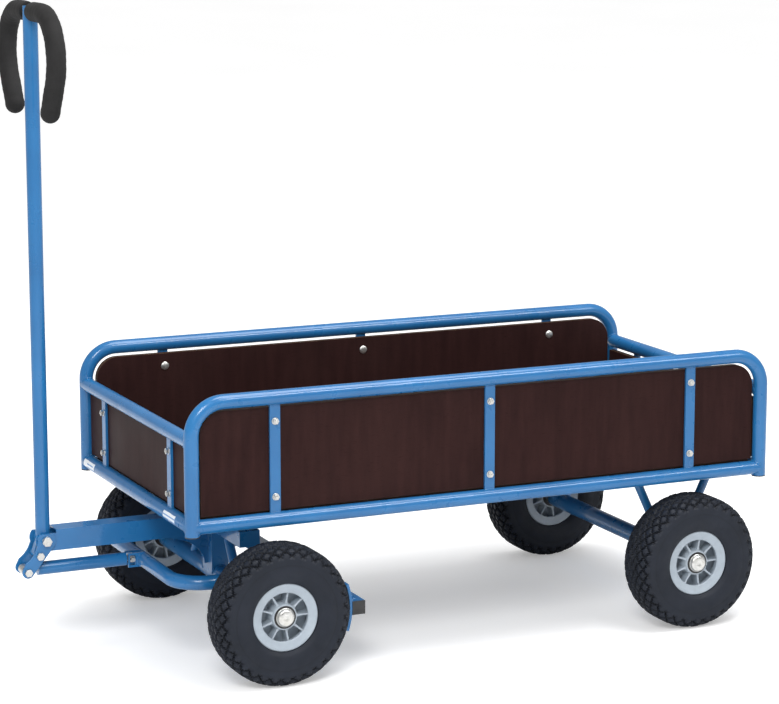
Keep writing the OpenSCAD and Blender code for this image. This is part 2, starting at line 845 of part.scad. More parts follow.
module brake_bow() {
    arm = bow_x - bow_bend - bar_x - bar / 2;
    closed = 6;                           // solid length at the rear end of each arm
    lug = [32, lug_t, 27];
    slot = [11, lug_t + 1, 19];
    slot_drop = 1.3;                      // the link's rear pin falls further than it rises
    gusset = [30, 10, bow_z - bar_z + bar / 2];
    color(blue) difference() {
        union() {
            bow_rod(tube_r, arm);
            mirror_y() translate([bow_x + 15, lug_y, (link_z + bow_z) / 2]) cube(lug, center = true);
            mirror_y() translate([bar_x + bar / 2, bow_y - gusset[1] / 2, bar_z - bar / 2])
                cube(gusset);
        }
        bow_rod(bore_r, arm - closed);
        mirror_y() translate([link_end_x, lug_y, link_z - slot_drop]) cube(slot, center = true);
    }
}

module brake_bar() {
    color(blue) translate([bar_x, 0, bar_z]) difference() {
        cube([bar, 2 * bar_half, bar], center = true);
        cube([bar - 2 * bar_wall, 2 * bar_half + 2 * e, bar - 2 * bar_wall], center = true);
    }
}

module brake_bar_caps() {
    lid = 3;
    plug = 12;
    color(black) mirror_y() translate([bar_x, bar_half, bar_z]) {
        translate([0, lid / 2, 0]) cube([bar, lid, bar], center = true);
        translate([0, -plug / 2, 0])
            cube([bar - 2 * bar_wall, plug, bar - 2 * bar_wall], center = true);
    }
}

// Curved shoes behind the front tyres, each with a gusset down to the bar.
module brake_shoes() {
    span = 38;                            // the part of the tyre's circle that a shoe covers
    inner = tyre_r + shoe_gap;
    gusset_high = 36;
    gusset_low = 8;
    bar_at = [bar_x - front_x, bar_z - axle_z];
    color(blue) mirror_y() translate([front_x, front_track / 2, axle_z]) rotate([90, 0, 0]) difference() {
        union() {
            rotate([0, 0, 180 - span / 2]) rotate_extrude(angle = span)
                translate([inner + shoe_t / 2, 0]) square([shoe_t, shoe_w], center = true);
            linear_extrude(shoe_t, center = true)
                polygon([[-inner - 2, gusset_high], [-inner - 2, gusset_low], bar_at + [0, bar / 2]]);
        }
        cylinder(r = inner, h = 2 * shoe_w, center = true);
        translate(bar_at) cube([bar, bar, 2 * shoe_w], center = true);
    }
}

// Moves a sub-part so that the origin is below the middle of the whole trolley.
module centred() { translate([-middle_x, 0, 0]) children(); }

centred() side_frame_left();
centred() side_frame_right();
centred() front_end_frame();
centred() rear_end_frame();
centred() floor_bearers();
centred() side_panel_left();
centred() side_panel_right();
centred() front_panel();
centred() rear_panel();
centred() floor_board();
centred() panel_bolts();
centred() panel_nuts();
centred() floor_screws();
centred() leg_caps();
centred() label_plates();
centred() rear_axle_frame();
centred() rear_spindles();
centred() rear_axle_caps();
centred() turntable_upper();
centred() turntable_bolts();
centred() turntable_lower();
centred() turntable_balls();
centred() steering_frame();
centred() steering_bolts();
centred() front_spindles();
centred() front_axle_caps();
centred() pivot_bolt();
centred() pivot_nut();
centred() drawbar_tube();
centred() drawbar_foot();
centred() crank_plates();
centred() crank_clamp_bolt();
centred() crank_pin();
centred() handle_tube();
centred() handle_grips();
centred() link_tube();
centred() link_front_eye();
centred() link_rear_eye();
centred() link_rear_pin();
centred() brake_bow();
centred() brake_bar();
centred() brake_shoes();
centred() brake_bar_caps();
centred() tyre_front_left();
centred() rim_front_left();
centred() bearings_front_left();
centred() tyre_front_right();
centred() rim_front_right();
centred() bearings_front_right();
centred() tyre_rear_left();
centred() rim_rear_left();
centred() bearings_rear_left();
centred() tyre_rear_right();
centred() rim_rear_right();
centred() bearings_rear_right();
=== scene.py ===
import json
import math
import random

import bmesh
import bpy
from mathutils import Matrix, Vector


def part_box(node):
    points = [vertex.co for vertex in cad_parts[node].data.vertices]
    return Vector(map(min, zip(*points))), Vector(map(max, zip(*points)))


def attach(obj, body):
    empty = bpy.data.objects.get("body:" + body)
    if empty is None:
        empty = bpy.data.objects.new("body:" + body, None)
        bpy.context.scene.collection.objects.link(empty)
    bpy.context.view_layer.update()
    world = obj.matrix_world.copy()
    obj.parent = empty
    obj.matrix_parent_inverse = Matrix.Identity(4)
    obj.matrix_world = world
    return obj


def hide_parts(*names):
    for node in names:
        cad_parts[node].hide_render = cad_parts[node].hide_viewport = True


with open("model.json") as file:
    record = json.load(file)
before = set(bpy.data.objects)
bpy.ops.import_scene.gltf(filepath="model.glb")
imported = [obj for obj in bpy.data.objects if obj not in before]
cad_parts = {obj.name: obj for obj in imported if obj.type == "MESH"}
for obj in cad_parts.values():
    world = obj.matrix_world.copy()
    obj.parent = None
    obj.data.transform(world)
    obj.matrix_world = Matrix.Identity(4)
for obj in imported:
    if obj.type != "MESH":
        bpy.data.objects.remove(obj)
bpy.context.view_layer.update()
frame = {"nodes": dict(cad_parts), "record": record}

MM = 0.001
BOX_LOW, BOX_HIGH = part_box("side_frame_left")
BOX_X = (BOX_LOW[0] + BOX_HIGH[0]) / 2      # the box's middle, from which the CAD measures along X
AXLE_R = 16.85 * MM
STRUT_W = 20 * MM
STRUT_T = 5 * MM
BOARD = 12 * MM
SIDE_STRUTS_X = (-0.430, 0.0, 0.430)        # from the box's middle
END_STRUTS_Y = (-0.185, 0.185)
SIDE_BOLTS_Z = (0.341, 0.480)
END_BOLTS_Z = (0.338, 0.417)
WHEELS = {
    "front_left": "wheel_front_left",
    "front_right": "wheel_front_right",
    "rear_left": "wheel_rear_left",
    "rear_right": "wheel_rear_right",
}

# ---------------------------------------------------------------- material helpers


class Shader:
    """A material under construction: a Principled surface and short calls for the nodes that feed it."""

    def __init__(self, name):
        self.material = bpy.data.materials.new(name)
        self.material.use_nodes = True
        self.nodes = self.material.node_tree.nodes
        self.links = self.material.node_tree.links
        self.surface = self.nodes["Principled BSDF"]
        self.place = self.nodes.new("ShaderNodeTexCoord").outputs["Object"]

    def link(self, source, target):
        self.links.new(source, target)

    def feed(self, node, name, value):
        """Sets an input to a number or colour, or links it when the value is another node's output."""
        socket = node.inputs[name]
        if isinstance(value, bpy.types.NodeSocket):
            self.link(value, socket)
        else:
            socket.default_value = value

    def set(self, **inputs):
        for name, value in inputs.items():
            self.feed(self.surface, name.replace("_", " "), value)

    def stretched(self, scale):
        node = self.nodes.new("ShaderNodeMapping")
        self.link(self.place, node.inputs["Vector"])
        node.inputs["Scale"].default_value = scale
        return node.outputs["Vector"]

    def noise(self, scale, detail=3.0, rough=0.5, place=None, seed=0.0):
        node = self.nodes.new("ShaderNodeTexNoise")
        node.noise_dimensions = "4D"
        self.link(place or self.place, node.inputs["Vector"])
        node.inputs["W"].default_value = seed
        node.inputs["Scale"].default_value = scale
        node.inputs["Detail"].default_value = detail
        node.inputs["Roughness"].default_value = rough
        return node.outputs["Fac"]

    def cells(self, scale):
        node = self.nodes.new("ShaderNodeTexVoronoi")
        self.link(self.place, node.inputs["Vector"])
        node.inputs["Scale"].default_value = scale
        return node.outputs["Distance"]

    def axis(self, vector, name):
        node = self.nodes.new("ShaderNodeSeparateXYZ")
        self.link(vector, node.inputs[0])
        return node.outputs[name]

    def fit(self, value, low, high, to_low=0.0, to_high=1.0):
        node = self.nodes.new("ShaderNodeMapRange")
        node.clamp = True
        self.feed(node, "Value", value)
        self.feed(node, "From Min", low)
        self.feed(node, "From Max", high)
        self.feed(node, "To Min", to_low)
        self.feed(node, "To Max", to_high)
        return node.outputs["Result"]

    def math(self, operation, a, b=0.0):
        node = self.nodes.new("ShaderNodeMath")
        node.operation = operation
        self.feed(node, 0, a)
        self.feed(node, 1, b)
        return node.outputs[0]

    def mix(self, amount, first, second):
        node = self.nodes.new("ShaderNodeMix")
        node.data_type = "RGBA"
        self.feed(node, 0, amount)
        self.feed(node, 6, first)
        self.feed(node, 7, second)
        return node.outputs[2]

    def rounded(self, radius):
        """A normal that softens sharp edges over the given radius."""
        node = self.nodes.new("ShaderNodeBevel")
        node.samples = 4
        node.inputs["Radius"].default_value = radius
        return node.outputs["Normal"]

    def edges(self, radius):
        """1 on sharp edges and 0 on open faces."""
        true_normal = self.nodes.new("ShaderNodeNewGeometry").outputs["Normal"]
        dot = self.nodes.new("ShaderNodeVectorMath")
        dot.operation = "DOT_PRODUCT"
        self.link(self.rounded(radius), dot.inputs[0])
        self.link(true_normal, dot.inputs[1])
        return self.fit(dot.outputs["Value"], 0.995, 0.85)

    def bump(self, height, distance, strength=0.5, normal=None):
        node = self.nodes.new("ShaderNodeBump")
        node.inputs["Strength"].default_value = strength
        node.inputs["Distance"].default_value = distance
        self.link(height, node.inputs["Height"])
        if normal:
            self.link(normal, node.inputs["Normal"])
        return node.outputs["Normal"]


def rgb(red, green, blue):
    return (red, green, blue, 1.0)


def blue_paint():
    """Glossy powder coat: orange peel, faint drifts of tone, paler where it thins over edges."""
    s = Shader("blue_paint")
    drift = s.fit(s.noise(7.0, 3.0), 0.35, 0.65)
    coat = s.mix(drift, rgb(0.012, 0.116, 0.300), rgb(0.017, 0.147, 0.362))
    speck = s.fit(s.noise(420.0, 2.0, seed=3.0), 0.66, 0.74, 0.0, 0.25)
    coat = s.mix(speck, coat, rgb(0.010, 0.100, 0.28))
    wear = s.math("MULTIPLY", s.edges(0.0012), s.fit(s.noise(60.0, 4.0, seed=9.0), 0.48, 0.66))
    coat = s.mix(s.math("MULTIPLY", wear, 0.55), coat, rgb(0.16, 0.38, 0.66))
    s.set(Base_Color=coat, Coat_Weight=0.45, Coat_Roughness=0.06, Specular_IOR_Level=0.32)
    s.set(Roughness=s.fit(s.noise(35.0, 4.0, seed=5.0), 0.3, 0.7, 0.24, 0.38))
    s.set(Normal=s.bump(s.noise(330.0, 2.0), 0.00012, 0.35, s.rounded(0.0012)))
    return s.material


def film_plywood(across):
    """Dark brown phenolic film over plywood, with sealed layers on the cut edges. across is the board's
    thickness direction."""
    s = Shader("film_plywood_" + across.lower())
    grain = (1.0, 6.0, 7.0) if across == "Z" else (6.0, 6.0, 0.8)
    long_grain = s.noise(9.0, 5.0, 0.6, place=s.stretched(grain))
    blotch = s.noise(5.0, 4.0, 0.55, seed=2.0)
    film = s.mix(s.fit(long_grain, 0.3, 0.7), rgb(0.0195, 0.0082, 0.0080), rgb(0.031, 0.0128, 0.0120))
    film = s.mix(s.fit(blotch, 0.45, 0.75, 0.0, 0.35), film, rgb(0.041, 0.0185, 0.0165))
    pores = s.noise(260.0, 2.0, 0.5, place=s.stretched((0.35, 1.0, 2.2)), seed=4.0)
    film = s.mix(s.fit(pores, 0.60, 0.72, 0.0, 0.5), film, rgb(0.014, 0.006, 0.0055))
    rub = s.math("MULTIPLY", s.edges(0.0015), s.fit(s.noise(45.0, 4.0, seed=8.0), 0.42, 0.62))
    film = s.mix(s.math("MULTIPLY", rub, 0.6), film, rgb(0.20, 0.115, 0.07))
    depth = s.axis(s.place, across)
    layers = s.fit(s.math("SINE", s.math("MULTIPLY", depth, 2 * math.pi / 0.0028)), -0.4, 0.4)
    edge = s.mix(layers, rgb(0.050, 0.026, 0.017), rgb(0.105, 0.060, 0.036))
    facing = s.math("ABSOLUTE", s.axis(s.nodes.new("ShaderNodeNewGeometry").outputs["Normal"], across))
    film = s.mix(s.fit(facing, 0.6, 0.5), film, edge)
    s.set(Base_Color=film, Roughness=s.fit(blotch, 0.3, 0.7, 0.38, 0.54), Specular_IOR_Level=0.05)
    s.set(Normal=s.bump(s.cells(520.0), 0.00016, 0.30, s.rounded(0.0010)))
    return s.material


def zinc_plate():
    """Bright zinc plating with a spangled, slightly yellowed passivation."""
    s = Shader("zinc_plate")
    spangle = s.noise(160.0, 4.0, 0.6)
    tone = s.mix(s.fit(spangle, 0.3, 0.7), rgb(0.50, 0.50, 0.48), rgb(0.74, 0.74, 0.72))
    warm = s.fit(s.noise(40.0, 2.0, seed=6.0), 0.5, 0.8, 0.0, 0.4)
    tone = s.mix(warm, tone, rgb(0.66, 0.62, 0.50))
    tone = s.mix(s.math("MULTIPLY", s.edges(0.0006), 0.6), tone, rgb(0.86, 0.86, 0.85))
    s.set(Base_Color=tone, Metallic=0.9)
    s.set(Roughness=s.fit(spangle, 0.3, 0.7, 0.26, 0.46))
    s.set(Normal=s.bump(spangle, 0.00010, 0.4, s.rounded(0.0006)))
    return s.material


def tyre_rubber():
    """Moulded rubber: near black with a cool bloom, fine pitting, paler scuffs on the tread edges and
    painted shade in the tread grooves.
    """
    s = Shader("tyre_rubber")
    bloom = s.noise(14.0, 5.0, 0.6)
    tone = s.mix(s.fit(bloom, 0.3, 0.72), rgb(0.0073, 0.0100, 0.0164), rgb(0.0140, 0.0181, 0.0290))
    # Painted shade: the colour darkens where the surface is concave, in the tread grooves, standing in for
    # their shadow.
    groove_shade = s.fit(s.nodes.new("ShaderNodeNewGeometry").outputs["Pointiness"], 0.497, 0.470)
    tone = s.mix(groove_shade, tone, rgb(0.0015, 0.0018, 0.0025))
    scuff = s.math("MULTIPLY", s.edges(0.0014), s.fit(s.noise(90.0, 3.0, seed=7.0), 0.4, 0.62))
    tone = s.mix(s.math("MULTIPLY", scuff, 0.5), tone, rgb(0.0294, 0.0333, 0.0420))
    s.set(Base_Color=tone, Specular_IOR_Level=0.24)
    s.set(Roughness=s.fit(s.noise(50.0, 4.0, seed=1.0), 0.3, 0.7, 0.50, 0.68))
    pits = s.bump(s.noise(700.0, 3.0), 0.00012, 0.5, s.rounded(0.0006))
    s.set(Normal=s.bump(s.noise(45.0, 3.0, seed=2.0), 0.0004, 0.25, pits))
    return s.material


def rim_plastic():
    """Pale blue-grey moulded nylon with faint flow marks and a satin surface."""
    s = Shader("rim_plastic")
    flow = s.noise(30.0, 4.0, 0.6)
    tone = s.mix(s.fit(flow, 0.3, 0.7), rgb(0.2970, 0.3465, 0.3995), rgb(0.3600, 0.4140, 0.4675))
    grime = s.fit(s.noise(85.0, 5.0, seed=4.0), 0.55, 0.8, 0.0, 0.35)
    tone = s.mix(grime, tone, rgb(0.2250, 0.2520, 0.2805))
    tone = s.mix(s.math("MULTIPLY", s.edges(0.0010), 0.45), tone, rgb(0.5400, 0.5850, 0.6120))
    s.set(Base_Color=tone, Roughness=s.fit(flow, 0.3, 0.7, 0.36, 0.50))
    s.set(Normal=s.bump(s.noise(480.0, 2.0), 0.00010, 0.35, s.rounded(0.0008)))
    return s.material


def grip_foam():
    """Closed-cell foam sleeve: matte, finely pored, with a soft pressed sheen."""
    s = Shader("grip_foam")
    worn = s.noise(18.0, 4.0, 0.6)
    tone = s.mix(s.fit(worn, 0.3, 0.7), rgb(0.012, 0.0115, 0.0115), rgb(0.026, 0.0255, 0.026))
    pores = s.noise(900.0, 2.0, 0.6, seed=3.0)
    tone = s.mix(s.fit(pores, 0.55, 0.7, 0.0, 0.6), tone, rgb(0.006, 0.006, 0.006))
    s.set(Base_Color=tone, Roughness=s.fit(worn, 0.3, 0.7, 0.72, 0.88))
    s.set(Specular_IOR_Level=0.16, Sheen_Weight=0.02, Sheen_Roughness=0.5)
    fine = s.bump(pores, 0.00022, 0.6)
    s.set(Normal=s.bump(s.noise(70.0, 3.0, seed=5.0), 0.0006, 0.25, fine))
    return s.material


def black_plastic(name, tone_low, tone_high):
    """Moulded plastic with spark-eroded texture and scuffed edges."""
    s = Shader(name)
    tone = s.mix(s.fit(s.noise(60.0, 4.0), 0.3, 0.7), rgb(*tone_low), rgb(*tone_high))
    scuff = s.math("MULTIPLY", s.edges(0.0008), 0.5)
    tone = s.mix(scuff, tone, rgb(0.09, 0.09, 0.095))
    s.set(Base_Color=tone, Roughness=s.fit(s.noise(25.0, 3.0, seed=2.0), 0.3, 0.7, 0.38, 0.55))
    s.set(Normal=s.bump(s.noise(650.0, 2.0), 0.00010, 0.5, s.rounded(0.0008)))
    return s.material


def label_film():
    """Blank white film with plain blue bands and no lettering."""
    s = Shader("label_film")
    band = s.fit(s.math("SINE", s.math("MULTIPLY", s.axis(s.place, "Z"), 900.0)), 0.35, 0.45)
    gaps = s.fit(s.noise(45.0, 1.0), 0.46, 0.50)
    tone = s.mix(s.math("MULTIPLY", band, gaps), rgb(0.74, 0.78, 0.82), rgb(0.12, 0.26, 0.52))
    s.set(Base_Color=tone, Roughness=s.fit(s.noise(50.0, 3.0, seed=2.0), 0.3, 0.7, 0.28, 0.42))
    s.set(Normal=s.bump(s.noise(120.0, 2.0), 0.0001, 0.3))
    return s.material


MATERIALS = {
    "frame_paint": blue_paint(),
    "plywood": film_plywood("Z"),
    "zinc": zinc_plate(),
    "tyre": tyre_rubber(),
    "rim": rim_plastic(),
    "grip_foam": grip_foam(),
    "black_plastic": black_plastic("black_plastic", (0.012, 0.012, 0.013), (0.022, 0.022, 0.024)),
    "bearing": black_plastic("bearing_seal", (0.008, 0.008, 0.009), (0.016, 0.016, 0.018)),
    "label": label_film(),
}


UPRIGHT_BOARDS = {
    "side_panel_left": film_plywood("Y"),
    "front_panel": film_plywood("X"),
}
UPRIGHT_BOARDS["side_panel_right"] = UPRIGHT_BOARDS["side_panel_left"]
UPRIGHT_BOARDS["rear_panel"] = UPRIGHT_BOARDS["front_panel"]


def dress_frame():
    """Gives every CAD node its slot's material, turned to suit the board's direction for the panels."""
    for part in frame["record"]["subparts"]:
        node = frame["nodes"][part["node"]]
        node.data.materials.clear()
        node.data.materials.append(UPRIGHT_BOARDS.get(part["node"], MATERIALS[part["material_slot"]]))


# ---------------------------------------------------------------- mesh helpers


def mesh_piece(name, verts, faces, slot, body, smooth_angle=35.0):
    """A finished mesh object that rides on a body and wears a slot's material."""
    mesh = bpy.data.meshes.new(name)
    mesh.from_pydata(verts, [], faces)
    tidy = bmesh.new()
    tidy.from_mesh(mesh)
    bmesh.ops.recalc_face_normals(tidy, faces=tidy.faces)
    tidy.to_mesh(mesh)
    tidy.free()
    mesh.shade_smooth()
    mesh.set_sharp_from_angle(angle=math.radians(smooth_angle))
    piece = bpy.data.objects.new(name, mesh)
    bpy.context.scene.collection.objects.link(piece)
    mesh.materials.append(MATERIALS[slot])
    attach(piece, body)
    return piece


class Shape:
    """Vertices and faces gathered from several simple forms."""

    def __init__(self):
        self.verts = []
        self.faces = []

    def grid(self, rows, close_rows=False, cap=False):
        """Joins rows of points with quads; each row is a ring of equal length."""
        start = len(self.verts)
        count = len(rows[0])
        for row in rows:
            self.verts.extend(row)
        last = len(rows) if close_rows else len(rows) - 1
        for i in range(last):
            j = (i + 1) % len(rows)
            for k in range(count):
                m = (k + 1) % count
                self.faces.append((start + i * count + k, start + i * count + m,
                                   start + j * count + m, start + j * count + k))
        if cap:
            self.faces.append(tuple(start + k for k in range(count)))
            end = start + (len(rows) - 1) * count
            self.faces.append(tuple(end + k for k in reversed(range(count))))

    def lathe(self, profile, centre, segments=96):
        """Turns a profile of (radius, along) round the Y direction through the centre."""
        rows = []
        for i in range(segments):
            a = 2 * math.pi * i / segments
            rows.append([(centre[0] + r * math.cos(a), centre[1] + y, centre[2] + r * math.sin(a))
                         for r, y in profile])
        self.grid(rows, close_rows=True)

    def loft(self, outlines):
        """A closed solid through a list of equal outlines."""
        self.grid(outlines, cap=True)


def tube_rings(path, radius, sides=16):
    """Rings round a path of points, each square to the path. radius is a number or one per point."""
    rings = []
    side = None
    for i, point in enumerate(path):
        ahead = path[min(i + 1, len(path) - 1)]
        behind = path[max(i - 1, 0)]
        along = (ahead - behind).normalized()
        if side is None:
            guide = Vector((0, 0, 1)) if abs(along.z) < 0.8 else Vector((1, 0, 0))
            side = along.cross(guide).normalized()
        side = (side - along * side.dot(along)).normalized()
        other = along.cross(side)
        r = radius[i] if isinstance(radius, list) else radius
        rings.append([tuple(point + r * (math.cos(a) * side + math.sin(a) * other))
                      for a in (2 * math.pi * k / sides for k in range(sides))])
    return rings


def centre_of(node):
    low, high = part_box(node)
    return [(low[i] + high[i]) / 2 for i in range(3)]


# ---------------------------------------------------------------- tyres


def ray_to_circle(origin, direction, centre, radius):
    """Distance from an origin inside a circle to the circle."""
    ox, oy = origin[0] - centre[0], origin[1] - centre[1]
    b = ox * direction[0] + oy * direction[1]
    c = ox * ox + oy * oy - radius * radius
    return -b + math.sqrt(max(b * b - c, 0.0))


def tyre_outline(radius, half_width, bead_r, steps):
    """The tyre's outside as (radius, along, angle) from one bead over the crown to the other."""
    belly_r = half_width
    crown_r = 24 * MM
    crown_y = half_width - crown_r - 1 * MM
    eye = (radius - 35 * MM, 0.0)
    belly = (radius - belly_r, 0.0)
    shoulders = [(radius - crown_r, crown_y), (radius - crown_r, -crown_y)]
    bead_y = math.sqrt(belly_r**2 - (bead_r - belly[0]) ** 2)
    limit = math.atan2(bead_y, bead_r - eye[0])
    points = []
    for i in range(steps + 1):
        a = -limit + 2 * limit * i / steps
        direction = (math.cos(a), math.sin(a))
        reach = ray_to_circle(eye, direction, belly, belly_r)
        for shoulder in shoulders:
            if math.dist(eye, shoulder) < crown_r:
                reach = max(reach, ray_to_circle(eye, direction, shoulder, crown_r))
        if direction[0] > 0:
            flat = (radius - eye[0]) / direction[0]
            if abs(flat * direction[1]) < crown_y:
                reach = max(reach, flat)
        points.append((eye[0] + reach * direction[0], reach * direction[1], a))
    return points


def groove_depth(turn, across, shoulder):
    """Tread depth from 0 to 1: crossing diagonal grooves that fade out down the sidewall."""
    diamonds = 32
    cross = 2.3
    depth = 0.0
    for sign in (1, -1):
        phase = turn * diamonds + sign * across * cross
        off = abs(phase - round(phase))
        depth = max(depth, min(max((0.150 - off) / 0.050, 0.0), 1.0))
    edge = abs(across)
    fade = min(max((shoulder - edge) / 0.10, 0.0), 1.0)
    return depth * fade


def sidewall_rib(r, bead_r):
    """Low moulded rings that circle the sidewall."""
    height = 0.0
    for out, width in ((5 * MM, 1.6 * MM), (9 * MM, 1.0 * MM), (37 * MM, 1.2 * MM)):
        height = max(height, 0.7 * MM * max(0.0, 1.0 - abs(r - bead_r - out) / width))
    return height


def build_tyre(place, body):
    node = "tyre_" + place
    low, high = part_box(node)
    centre = centre_of(node)
    radius = (high[2] - low[2]) / 2
    half_width = (high[1] - low[1]) / 2
    bead_r = 63.4 * MM
    seat_r = 61.3 * MM
    seat_y = 28.8 * MM
    lip_y = seat_y + 0.4 * MM
    seat = [(bead_r, lip_y), (seat_r, seat_y), (seat_r, -seat_y), (bead_r, -lip_y)]
    segments = 600
    steps = 64
    depth = 4.2 * MM
    outline = tyre_outline(radius, half_width, bead_r, steps)
    shoulder = 1.21
    eye_r = radius - 35 * MM
    rows = []
    for i in range(segments):
        turn = i / segments
        c, s = math.cos(2 * math.pi * turn), math.sin(2 * math.pi * turn)
        row = []
        for r, y, a in outline:
            out = math.hypot(r - eye_r, y)
            lift = sidewall_rib(r, bead_r) if abs(a) > 1.3 else 0.0
            scale = 1 + (lift - depth * groove_depth(turn, a, shoulder)) / out
            rr = eye_r + (r - eye_r) * scale
            yy = max(-half_width, min(half_width, y * scale))
            row.append((centre[0] + rr * c, centre[1] + yy, centre[2] + rr * s))
        for r, y in seat:
            row.append((centre[0] + r * c, centre[1] + y, centre[2] + r * s))
        rows.append(row)
    shape = Shape()
    shape.grid(rows, close_rows=True)
    tyre = mesh_piece("tread_" + node, shape.verts, shape.faces, "tyre", body, 50.0)
    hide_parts(node)


# ---------------------------------------------------------------- rims


def build_rim(place, body):
    """A moulded rim: rounded outer rings, a stepped hub, a mid web and tapered spokes."""
    node = "rim_" + place
    centre = centre_of(node)
    low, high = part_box(node)
    rim_r = (high[2] - low[2]) / 2
    half = (high[1] - low[1]) / 2
    barrel_r = 60.9 * MM
    window_r = 45 * MM
    hub_r = 26 * MM
    bore_r = 21 * MM
    hub_half = 30 * MM
    spokes = 9
    shape = Shape()
    well = half - 3 * MM
    ring = [(rim_r, 3.6 * MM), (rim_r, 1.2 * MM), (rim_r - 0.5 * MM, 0.4 * MM), (rim_r - 1.6 * MM, 0.0),
            (rim_r - 4.0 * MM, 0.0), (rim_r - 5.2 * MM, 0.9 * MM), (window_r + 2.4 * MM, 2.2 * MM),
            (window_r + 0.8 * MM, 2.9 * MM), (window_r, 4.2 * MM), (window_r + 1.5 * MM, 14 * MM),
            (window_r + 9 * MM, well), (barrel_r, well), (barrel_r, 3.6 * MM)]
    for s in (1, -1):
        shape.lathe([(r, s * (half - depth)) for r, depth in ring], centre)
    web = [(hub_r + 12 * MM, 2.4 * MM), (window_r + 11 * MM, 2.4 * MM), (window_r + 11 * MM, -2.4 * MM),
           (hub_r + 12 * MM, -2.4 * MM), (hub_r - 2 * MM, -2.4 * MM), (hub_r - 2 * MM, 2.4 * MM)]
    shape.lathe(web, centre)
    hub = [(bore_r + 0.1 * MM, hub_half), (hub_r - 3.4 * MM, hub_half),
           (hub_r - 2.6 * MM, hub_half - 0.6 * MM), (hub_r - 1.0 * MM, hub_half - 6 * MM),
           (hub_r, hub_half - 14 * MM), (hub_r + 1.2 * MM, 0)]
    shape.lathe(hub + [(r, -y) for r, y in reversed(hub[:-1])], centre)
    for i in range(spokes):
        angle = 2 * math.pi * (i + 0.5) / spokes
        add_spoke(shape, centre, angle, hub_r - 1.5 * MM, window_r + 6 * MM, half - 6 * MM)
    rim = mesh_piece("moulded_" + node, shape.verts, shape.faces, "rim", body, 40.0)
    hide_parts(node)


def add_spoke(shape, centre, angle, inner, outer, half):
    """A rib with rounded long edges that flares where it meets the hub and the outer ring."""
    along = Vector((math.cos(angle), 0, math.sin(angle)))
    across = Vector((-math.sin(angle), 0, math.cos(angle)))
    rings = []
    steps = 8
    for i in range(steps + 1):
        t = i / steps
        radius = inner + (outer - inner) * t
        thick = (1.75 + 1.5 * (2 * t - 1) ** 4) * MM
        face = half - (1.2 - 1.2 * (2 * t - 1) ** 2) * MM
        corner = 1.0 * MM
        inset = thick - corner
        drop = face - corner
        outline = [(inset, face), (thick, drop), (thick, -drop), (inset, -face),
                   (-inset, -face), (-thick, -drop), (-thick, drop), (-inset, face)]
        base = Vector(centre) + along * radius
        rings.append([tuple(base + across * u + Vector((0, v, 0))) for u, v in outline])
    shape.loft(rings)


def build_caps(node, body):
    """Pressed retaining caps: a thin flange, a rounded side and a shallow crown with a dimple."""
    low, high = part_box(node)
    x = (low[0] + high[0]) / 2
    z = (low[2] + high[2]) / 2
    cap_r = (high[0] - low[0]) / 2
    height = 9 * MM
    shape = Shape()
    for s, tip in ((1, high[1]), (-1, low[1])):
        base = tip - s * height
        profile = [(0.3 * MM, 0), (cap_r, 0), (cap_r, 1.6), (cap_r - 0.5 * MM, 2.1), (cap_r - 1.1 * MM, 2.3),
                   (cap_r - 1.4 * MM, 4.4), (cap_r - 2.2 * MM, 6.2), (cap_r - 3.8 * MM, 7.4),
                   (cap_r - 6 * MM, 8.1), (5.5 * MM, 8.9), (4.6 * MM, 8.6), (2.0 * MM, 8.0), (0.3 * MM, 7.9)]
        shape.lathe([(r, s * y * MM) for r, y in profile], (x, base, z), 64)
    caps = mesh_piece("pressed_" + node, shape.verts, shape.faces, "zinc", body, 40.0)
    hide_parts(node)


# ---------------------------------------------------------------- handle grips


def grip_path(side):
    """The grip's centre line from the drawbar out, round the bend and down to the tip."""
    low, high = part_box("handle_grips")
    tube_low, tube_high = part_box("drawbar_tube")
    x = (tube_low[0] + tube_high[0]) / 2
    grip_r = (high[0] - low[0]) / 2
    top = high[2] - grip_r
    bend = 80 * MM
    flat = high[1] - grip_r - bend
    start = (tube_high[1] - tube_low[1]) / 2 + 1 * MM
    tail = 62 * MM
    turn = math.radians(120)
    points = [Vector((x, side * (start + (flat - start) * i / 12), top)) for i in range(12)]
    for i in range(41):
        a = turn * i / 40
        points.append(Vector((x, side * (flat + bend * math.sin(a)), top - bend + bend * math.cos(a))))
    heading = Vector((0, side * math.cos(turn), -math.sin(turn)))
    end = points[-1]
    points += [end + heading * tail * i / 14 for i in range(1, 15)]
    return points, grip_r, heading


def build_grips():
    """Foam sleeves: rounded ends, faint swelling and compression wrinkles inside the bend."""
    shape = Shape()
    for side in (1, -1):
        points, grip_r, heading = grip_path(side)
        radii = []
        count = len(points)
        for i in range(count):
            swell = 1.0 - 0.012 * (1 + math.sin(i * 1.9 + side)) - 0.01 * (1 + math.sin(i * 0.63))
            near_start = min(i / 1.5, 1.0)
            radii.append(grip_r * swell * (0.90 + 0.10 * near_start))
        tip = points[-1]
        for k in range(1, 9):
            a = math.pi / 2 * k / 8.4
            points.append(tip + heading * grip_r * math.sin(a))
            radii.append(radii[count - 1] * math.cos(a))
        shape.grid(tube_rings(points, radii, 40), cap=True)
    grips = mesh_piece("foam_grips", shape.verts, shape.faces, "grip_foam", "drawbar", 60.0)
    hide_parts("handle_grips")


# ---------------------------------------------------------------- welds and fasteners


def ripple(count, radius, seed):
    """Bead radii that rise and fall as a hand-laid weld does."""
    dice = random.Random(seed)
    return [radius * (1 + 0.13 * math.sin(1.7 * i) + 0.10 * (dice.random() - 0.5)) for i in range(count)]


def add_bead(shape, points, radius, seed=1):
    radii = ripple(len(points), radius, seed)
    radii[0] *= 0.5
    radii[-1] *= 0.5
    shape.grid(tube_rings(points, radii, 8), cap=True)


